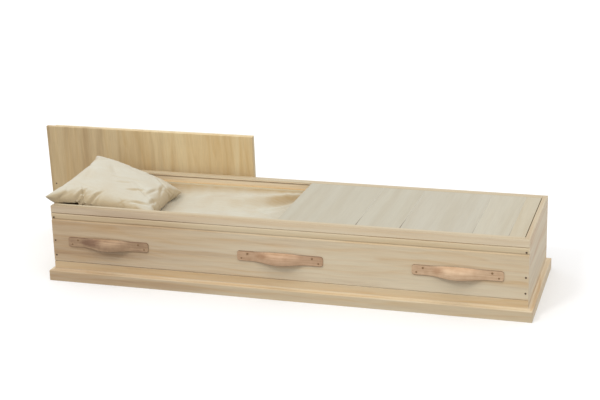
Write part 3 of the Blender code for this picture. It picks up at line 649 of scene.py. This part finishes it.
def calico(name, pale, shade):
    """Unbleached calico: a plain weave, uneven threads, darker flecks of seed husk.

    The threads are 0.5 mm apart. They are drawn 3.6 mm apart, the finest that shows. Painted shade
    makes the cloth darker and yellower on its sides and in its folds, where it turns from facing up.
    """
    material = bpy.data.materials.new(name)
    material.use_nodes = True
    tree = material.node_tree
    shader = tree.nodes["Principled BSDF"]
    place = add_node(tree, "ShaderNodeTexCoord")
    threads = {"Scale": 88.0, "Distortion": 1.5, "Detail": 1.0, "Detail Scale": 0.6}
    warp, weft = (add_node(tree, "ShaderNodeTexWave", threads, {"Vector": place.outputs["Object"]},
                           bands_direction=direction) for direction in ("X", "Y"))
    weave = add_node(tree, "ShaderNodeMath", {}, {0: warp.outputs["Fac"], 1: weft.outputs["Fac"]},
                     operation="MULTIPLY")
    slub_long = add_node(tree, "ShaderNodeMapping", {"Scale": (14.0, 260.0, 60.0)},
                         {"Vector": place.outputs["Object"]})
    slubs = add_node(tree, "ShaderNodeTexNoise", {"Scale": 1.0, "Detail": 3.0},
                     {"Vector": slub_long.outputs[0]})
    cloudy = add_node(tree, "ShaderNodeTexNoise", {"Scale": 9.0, "Detail": 4.0},
                      {"Vector": place.outputs["Object"]})
    flecks = add_node(tree, "ShaderNodeTexNoise", {"Scale": 420.0, "Detail": 1.0},
                      {"Vector": place.outputs["Object"]})
    husk = add_node(tree, "ShaderNodeMapRange",
                    {"From Min": 0.70, "From Max": 0.76, "To Min": 0.0, "To Max": 0.45},
                    {"Value": flecks.outputs["Fac"]})
    tone = add_node(tree, "ShaderNodeMath", {1: 0.5},
                    {0: slubs.outputs["Fac"], 2: cloudy.outputs["Fac"]}, operation="MULTIPLY_ADD")
    clouds = add_node(tree, "ShaderNodeMapRange",
                      {"From Min": 0.55, "From Max": 1.05, "To Min": 0.0, "To Max": 0.5},
                      {"Value": tone.outputs[0]})
    # Painted shade: darker and yellower where the cloth turns away from facing straight up
    lie = add_node(tree, "ShaderNodeNewGeometry")
    facing = add_node(tree, "ShaderNodeSeparateXYZ", {}, {0: lie.outputs["Normal"]})
    side_shade = add_node(tree, "ShaderNodeMapRange",
                       {"From Min": 0.35, "From Max": 0.97, "To Min": 0.9, "To Max": 0.0},
                       {"Value": facing.outputs["Z"]})
    share = add_node(tree, "ShaderNodeMath", {}, {0: clouds.outputs[0], 1: side_shade.outputs[0]},
                     operation="ADD", use_clamp=True)
    cloth = add_node(tree, "ShaderNodeMix", {6: linear(pale), 7: linear(shade)},
                     {0: share.outputs[0]}, data_type="RGBA")
    flecked = add_node(tree, "ShaderNodeMix", {7: linear("A88F68")},
                       {0: husk.outputs[0], 6: cloth.outputs[2]}, data_type="RGBA")
    tree.links.new(flecked.outputs[2], shader.inputs["Base Color"])
    relief = add_node(tree, "ShaderNodeMath", {1: 0.8}, {0: slubs.outputs["Fac"], 2: weave.outputs[0]},
                      operation="MULTIPLY_ADD")
    bump = add_node(tree, "ShaderNodeBump", {"Strength": 0.35, "Distance": 0.0006},
                    {"Height": relief.outputs[0]})
    tree.links.new(bump.outputs[0], shader.inputs["Normal"])
    shader.inputs["Roughness"].default_value = 0.92
    shader.inputs["Sheen Weight"].default_value = 0.25
    shader.inputs["Sheen Roughness"].default_value = 0.6
    shader.inputs["Specular IOR Level"].default_value = 0.25
    return material


def lining_level(x, y):
    """Height of the slung cloth before its folds, and its share of the full fall there."""
    end_steepness = LINING_STEEPNESS * LINING_HALF_LENGTH / LINING_HALF_WIDTH
    along = min(abs(x) / LINING_HALF_LENGTH, 1.0)
    across = min(abs(y) / LINING_HALF_WIDTH, 1.0)
    fall = (1 - along ** end_steepness) * (1 - across ** LINING_STEEPNESS)
    return LINING_HEM - LINING_SAG * fall, fall


def lining_folds(x, y, fall):
    """Long folds that fan out from the foot lid's rear corner, and small pleats below the hem."""
    away_x = x - FAN_POINT[0]
    away_y = y - FAN_POINT[1]
    reach = math.hypot(away_x, away_y)
    angle = math.degrees(math.atan2(away_y, away_x)) % 360
    rise = 0.0
    for centre, half_width, height in FAN_FOLDS:
        off = (angle - centre - 2.0 * math.sin(9 * reach)) / half_width
        rise += height * math.exp(-off * off)
    fade = min(reach / 0.10, 1.0) * max(0.0, 1.0 - (reach / FAN_REACH) ** 1.4)
    calm = min(max((x + 0.60) / 0.12, 0.0), 1.0)
    wander = 0.0012 * math.sin(17 * x + 5 * y) * math.cos(23 * y - 6 * x)
    pleats = 0.0013 * math.sin(120 * x + 3 * math.sin(11 * x)) * (1 - fall)
    return (rise * fade * calm + wander) * fall + pleats * min(fall * 6, 1.0)


bpy.ops.object.select_all(action="DESELECT")
bpy.ops.mesh.primitive_grid_add(x_subdivisions=LINING_CELLS[0],
                                y_subdivisions=LINING_CELLS[1], size=2)
lining = bpy.context.object
for vertex in lining.data.vertices:
    x = LINING_HALF_LENGTH * math.sin(vertex.co.x * math.pi / 2)
    y = LINING_HALF_WIDTH * math.sin(vertex.co.y * math.pi / 2)
    level, fall = lining_level(x, y)
    vertex.co = (x, y, level + lining_folds(x, y, fall))
skin = lining.modifiers.new("cloth", "SOLIDIFY")
skin.thickness = LINING_THICKNESS
skin.offset = -1.0
bpy.ops.object.modifier_apply(modifier="cloth")
bpy.ops.object.shade_smooth()
unbleached = calico("unbleached calico lining", "CECAB9", "B9A079")
finish_piece(lining, "calico_lining", unbleached)
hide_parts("lining")

# The hem is the cloth's edge, folded down 9 mm wide just inside it.
HEM_WIDTH = 0.009
HEM_THICKNESS = 0.0016
HEM_INSET = 0.0012
bpy.ops.object.select_all(action="DESELECT")
bpy.ops.mesh.primitive_plane_add(size=2)
hem = bpy.context.object
hem_half = (LINING_HALF_LENGTH - HEM_INSET, LINING_HALF_WIDTH - HEM_INSET)
hem.data.transform(Matrix.Diagonal((*hem_half, 1.0, 1.0)))
hem.data.transform(Matrix.Translation((0, 0, LINING_HEM + HEM_INSET)))
bpy.ops.object.mode_set(mode="EDIT")
bpy.ops.mesh.select_all(action="SELECT")
bpy.ops.mesh.extrude_region_move(TRANSFORM_OT_translate={"value": (0, 0, -HEM_WIDTH)})
bpy.ops.mesh.select_all(action="DESELECT")
pick_faces(hem, lambda face: abs(face.normal.z) > 0.9)
bpy.ops.mesh.delete(type="FACE")
bpy.ops.mesh.select_all(action="SELECT")
bpy.ops.mesh.subdivide(number_cuts=3)
bpy.ops.mesh.normals_make_consistent(inside=True)
bpy.ops.object.mode_set(mode="OBJECT")
skin = hem.modifiers.new("fold", "SOLIDIFY")
skin.thickness = HEM_THICKNESS
skin.offset = 1.0
edge = hem.modifiers.new("rounded", "BEVEL")
edge.width = 0.0006
edge.segments = 2
for modifier in ("fold", "rounded"):
    bpy.ops.object.modifier_apply(modifier=modifier)
bpy.ops.object.shade_smooth_by_angle(angle=math.radians(50))
finish_piece(hem, "lining_hem", calico("calico hem", "DED5BE", "D6C7A6"))

# The pillow is a flat calico case, sewn round its edge and lightly filled. It lies on the lining
# and over the head end's rim, so its seam is drawn in between the corners and its top wrinkles.

PILLOW_SIZE = (0.46, 0.52)
PILLOW_CELLS = (76, 84)
PILLOW_STEPS = 26
PILLOW_CASE = 0.004
PILLOW_ABOVE = 0.057
PILLOW_BELOW = 0.086
PILLOW_OVER_HEAD_END = 0.100
CLEAR_OF_RIM = 0.0012
CLEAR_OF_LINING = 0.0030
# Corners of the seam, measured from the box's head end, its front and its rim
BOX_CORNER = Vector((-CASKET_END, -WALL_FACE, RIM))
SEAM_CORNERS = {
    "head_front": BOX_CORNER + Vector((-0.028, 0.012, 0.034)),
    "head_rear": BOX_CORNER + Vector((-0.010, 0.500, 0.076)),
    "foot_rear": BOX_CORNER + Vector((0.400, 0.478, -0.063)),
    "foot_front": BOX_CORNER + Vector((0.430, 0.080, -0.059)),
}
# Creases as (u, v, direction in degrees, half length, half width, depth in metres), with u from
# the head end to the foot end and v from the front to the rear, each from -1 to 1.
CREASES = (
    (-0.68, -0.84, 115, 0.12, 0.030, 0.0040), (-0.46, -0.90, 62, 0.13, 0.022, 0.0150),
    (-0.34, -0.88, 128, 0.16, 0.022, 0.0160), (-0.20, -0.91, 62, 0.14, 0.022, 0.0150),
    (-0.08, -0.86, 95, 0.14, 0.034, 0.0050), (-0.40, -0.66, 165, 0.20, 0.034, 0.0030),
    (-0.05, 0.02, 12, 0.24, 0.036, 0.0030), (0.10, -0.12, 28, 0.18, 0.030, 0.0038),
    (0.22, 0.12, 5, 0.20, 0.036, 0.0032), (0.40, -0.30, 35, 0.17, 0.026, 0.0060),
    (0.54, -0.30, 140, 0.15, 0.026, 0.0062), (0.42, -0.08, 150, 0.16, 0.030, 0.0035),
    (0.66, -0.12, 80, 0.22, 0.030, 0.0055), (0.76, 0.20, 100, 0.22, 0.028, 0.0052),
    (0.66, 0.55, 140, 0.22, 0.034, 0.0045), (0.62, -0.74, 20, 0.15, 0.026, 0.0070),
    (0.80, -0.45, 85, 0.18, 0.026, 0.0060), (-0.30, 0.30, 125, 0.26, 0.050, 0.0025),
    (-0.62, -0.10, 100, 0.28, 0.045, 0.0028), (0.05, 0.60, 170, 0.26, 0.050, 0.0030),
    (-0.72, 0.62, 40, 0.20, 0.036, 0.0040), (-0.10, 0.86, 95, 0.14, 0.030, 0.0040),
    (0.32, 0.86, 80, 0.16, 0.032, 0.0045), (-0.86, 0.10, 10, 0.14, 0.030, 0.0035),
)


def blow_up(case):
    """Fill the flat case by cloth simulation, until it is as full as a slack pillow."""
    cloth = case.modifiers.new("case", "CLOTH")
    settings = cloth.settings
    settings.quality = 5
    settings.mass = 0.25
    settings.tension_stiffness = 18.0
    settings.compression_stiffness = 6.0
    settings.shear_stiffness = 4.0
    settings.bending_stiffness = 0.12
    settings.air_damping = 3.0
    settings.use_pressure = True
    settings.uniform_pressure_force = 4.0
    settings.effector_weights.gravity = 0.0
    cloth.collision_settings.use_collision = False
    cloth.point_cache.frame_start = 1
    cloth.point_cache.frame_end = PILLOW_STEPS
    for step in range(1, PILLOW_STEPS + 1):
        bpy.context.scene.frame_set(step)
    bpy.context.view_layer.objects.active = case
    bpy.ops.object.modifier_apply(modifier="case")


def crease_depth(u, v):
    """How deep the cloth is folded in at a place on the pillow's top."""
    deep = 0.0
    for at_u, at_v, direction, half_length, half_width, depth in CREASES:
        turn = math.radians(direction)
        away_u = u - at_u
        away_v = v - at_v
        along = away_u * math.cos(turn) + away_v * math.sin(turn)
        across = away_v * math.cos(turn) - away_u * math.sin(turn) + 0.25 * along * along
        deep += depth * math.exp(-(along / half_length) ** 2 - (across / half_width) ** 2)
        # The cloth pushed aside stands up in a lower ridge beside the fold.
        beside = (across - 2.2 * half_width) / (1.4 * half_width)
        deep -= 0.45 * depth * math.exp(-(along / half_length) ** 2 - beside ** 2)
    return deep


def pillow_rest(place):
    """The lowest that the pillow may reach: the head end's rim, or the lining."""
    if place.x < PILLOW_OVER_HEAD_END - CASKET_END:
        return RIM + CLEAR_OF_RIM
    return lining_level(place.x, place.y)[0] + CLEAR_OF_LINING


bpy.ops.object.select_all(action="DESELECT")
bpy.ops.mesh.primitive_grid_add(x_subdivisions=PILLOW_CELLS[0],
                                y_subdivisions=PILLOW_CELLS[1], size=1)
pillow = bpy.context.object
pillow.data.transform(Matrix.Diagonal((*PILLOW_SIZE, 1.0, 1.0)))
skin = pillow.modifiers.new("two sides", "SOLIDIFY")
skin.thickness = PILLOW_CASE
skin.offset = 0.0
bpy.ops.object.modifier_apply(modifier="two sides")
blow_up(pillow)
smooth = pillow.modifiers.new("smooth", "SUBSURF")
smooth.levels = 1
smooth.render_levels = 1
bpy.ops.object.modifier_apply(modifier="smooth")
half_u, half_v, half_z = (max(abs(vertex.co[axis]) for vertex in pillow.data.vertices)
                          for axis in range(3))
lie = (SEAM_CORNERS["foot_rear"] + SEAM_CORNERS["foot_front"]
       - SEAM_CORNERS["head_rear"] - SEAM_CORNERS["head_front"])
reach = (SEAM_CORNERS["head_rear"] + SEAM_CORNERS["foot_rear"]
         - SEAM_CORNERS["head_front"] - SEAM_CORNERS["foot_front"])
upright = lie.cross(reach).normalized()
for vertex in pillow.data.vertices:
    u = vertex.co.x / half_u
    v = vertex.co.y / half_v
    plump = vertex.co.z / half_z
    head_edge = SEAM_CORNERS["head_front"].lerp(SEAM_CORNERS["head_rear"], (v + 1) / 2)
    foot_edge = SEAM_CORNERS["foot_front"].lerp(SEAM_CORNERS["foot_rear"], (v + 1) / 2)
    height = (PILLOW_ABOVE if plump > 0 else PILLOW_BELOW) * plump
    # The folds reach over the seam, and die away at its stitches.
    height -= crease_depth(u, v) * max(-1.0, min(1.0, plump / 0.10))
    place = head_edge.lerp(foot_edge, (u + 1) / 2) + upright * height
    place.z = max(place.z, pillow_rest(place))
    vertex.co = place
bpy.ops.object.shade_smooth()
pillow_calico = calico("unbleached calico pillow", "CFCBBB", "C2B08F")
finish_piece(pillow, "calico_pillow", pillow_calico)
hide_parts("pillow")

# The room is white studio paper in a white tent, brighter above than below, with soft light from
# overhead and from the front. The camera stands right of the casket and looks a little down.

FLOOR_SIZE = 60.0
FLOOR_MIDDLE = (0.0, 8.0, -0.0005)
CAMERA_PLACE = (1.6097, -5.2407, 2.0932)
CAMERA_YAW = 0.2969
CAMERA_PITCH = 0.3112
CAMERA_ROLL = -0.0257
CAMERA_LENS = 82.70

bpy.ops.object.select_all(action="DESELECT")
bpy.ops.mesh.primitive_plane_add(size=FLOOR_SIZE, location=FLOOR_MIDDLE)
floor = bpy.context.object
floor.name = "floor"
# Matt paper scatters evenly. It is hidden from diffuse rays, so it throws no light back up.
paper = bpy.data.materials.new("white studio paper")
paper.use_nodes = True
paper_shader = paper.node_tree.nodes["Principled BSDF"]
paper_shader.inputs["Base Color"].default_value = linear("F4F4F4")
paper_shader.inputs["Roughness"].default_value = 0.9
paper_shader.inputs["Emission Color"].default_value = (1.0, 1.0, 1.0, 1.0)
paper_shader.inputs["Emission Strength"].default_value = 0.06
floor.data.materials.append(paper)
floor.visible_diffuse = False


def soft_light(name, towards, strength, spread):
    """A very wide distant lamp, as even as a ceiling of soft boxes, shining from a direction."""
    lamp = bpy.data.lights.new(name, "SUN")
    lamp.energy = strength
    lamp.angle = math.radians(spread)
    holder = bpy.data.objects.new(name, lamp)
    bpy.context.scene.collection.objects.link(holder)
    holder.rotation_euler = Vector(towards).to_track_quat("Z", "Y").to_euler()


soft_light("overhead light", (0.12, -0.28, 0.95), 0.62, 45)
soft_light("front light", (-0.35, -0.66, 0.66), 0.60, 12)
world = bpy.data.worlds.new("white tent")
world.use_nodes = True
surround = world.node_tree.nodes["Background"]
surround.inputs["Color"].default_value = (1.0, 1.0, 1.0, 1.0)
direction = add_node(world.node_tree, "ShaderNodeTexCoord")
rise = add_node(world.node_tree, "ShaderNodeSeparateXYZ", {}, {0: direction.outputs["Generated"]})
glow = add_node(world.node_tree, "ShaderNodeMapRange",
                {"From Min": -0.15, "From Max": 0.25, "To Min": 0.38, "To Max": 0.88},
                {"Value": rise.outputs["Z"]}, interpolation_type="SMOOTHSTEP")
world.node_tree.links.new(glow.outputs[0], surround.inputs["Strength"])
bpy.context.scene.world = world
bpy.context.scene.view_settings.view_transform = "Standard"

camera_lens = bpy.data.cameras.new("camera")
camera_lens.lens = CAMERA_LENS
camera_lens.sensor_width = 36.0
camera = bpy.data.objects.new("camera", camera_lens)
bpy.context.scene.collection.objects.link(camera)
camera.matrix_world = (
    Matrix.Translation(CAMERA_PLACE)
    @ Matrix.Rotation(CAMERA_YAW, 4, "Z")
    @ Matrix.Rotation(math.pi / 2 - CAMERA_PITCH, 4, "X")
    @ Matrix.Rotation(CAMERA_ROLL, 4, "Z")
)
bpy.context.scene.camera = camera
